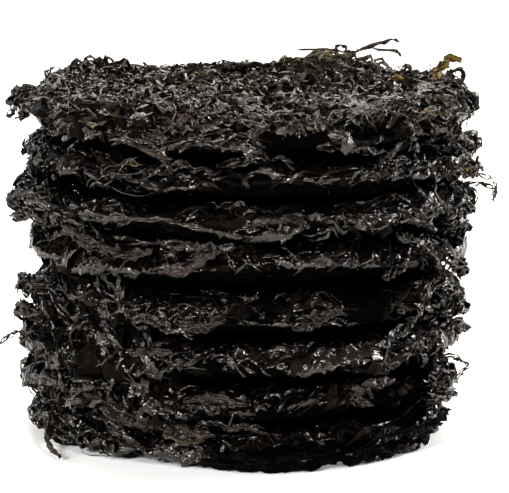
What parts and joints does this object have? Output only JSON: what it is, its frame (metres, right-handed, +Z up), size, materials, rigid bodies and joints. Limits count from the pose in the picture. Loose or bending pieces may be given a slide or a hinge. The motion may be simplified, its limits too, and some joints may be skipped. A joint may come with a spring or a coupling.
{
  "type": "stack of dried nori",
  "caption": "Round cakes of dried laver, matted from crumpled glossy black fronds, lying on each other in a loose upright stack.",
  "frame": {"origin": "centre of the flat underside of the bottom cake, on the surface that the stack stands on", "axes": "+Z up through the cakes, -Y towards the picture's camera, +X to its right"},
  "size_m": [0.2219, 0.2097, 0.1663],
  "materials": {
    "dried_laver": "near-black crumpled fronds with a glossy, slightly brown surface"
  },
  "bodies": {
    "root": {"cake_1": "dried_laver", "cake_2": "dried_laver", "cake_3": "dried_laver", "cake_4": "dried_laver", "cake_5": "dried_laver", "cake_6": "dried_laver", "cake_7": "dried_laver", "cake_8": "dried_laver"}
  },
  "joints": []
}
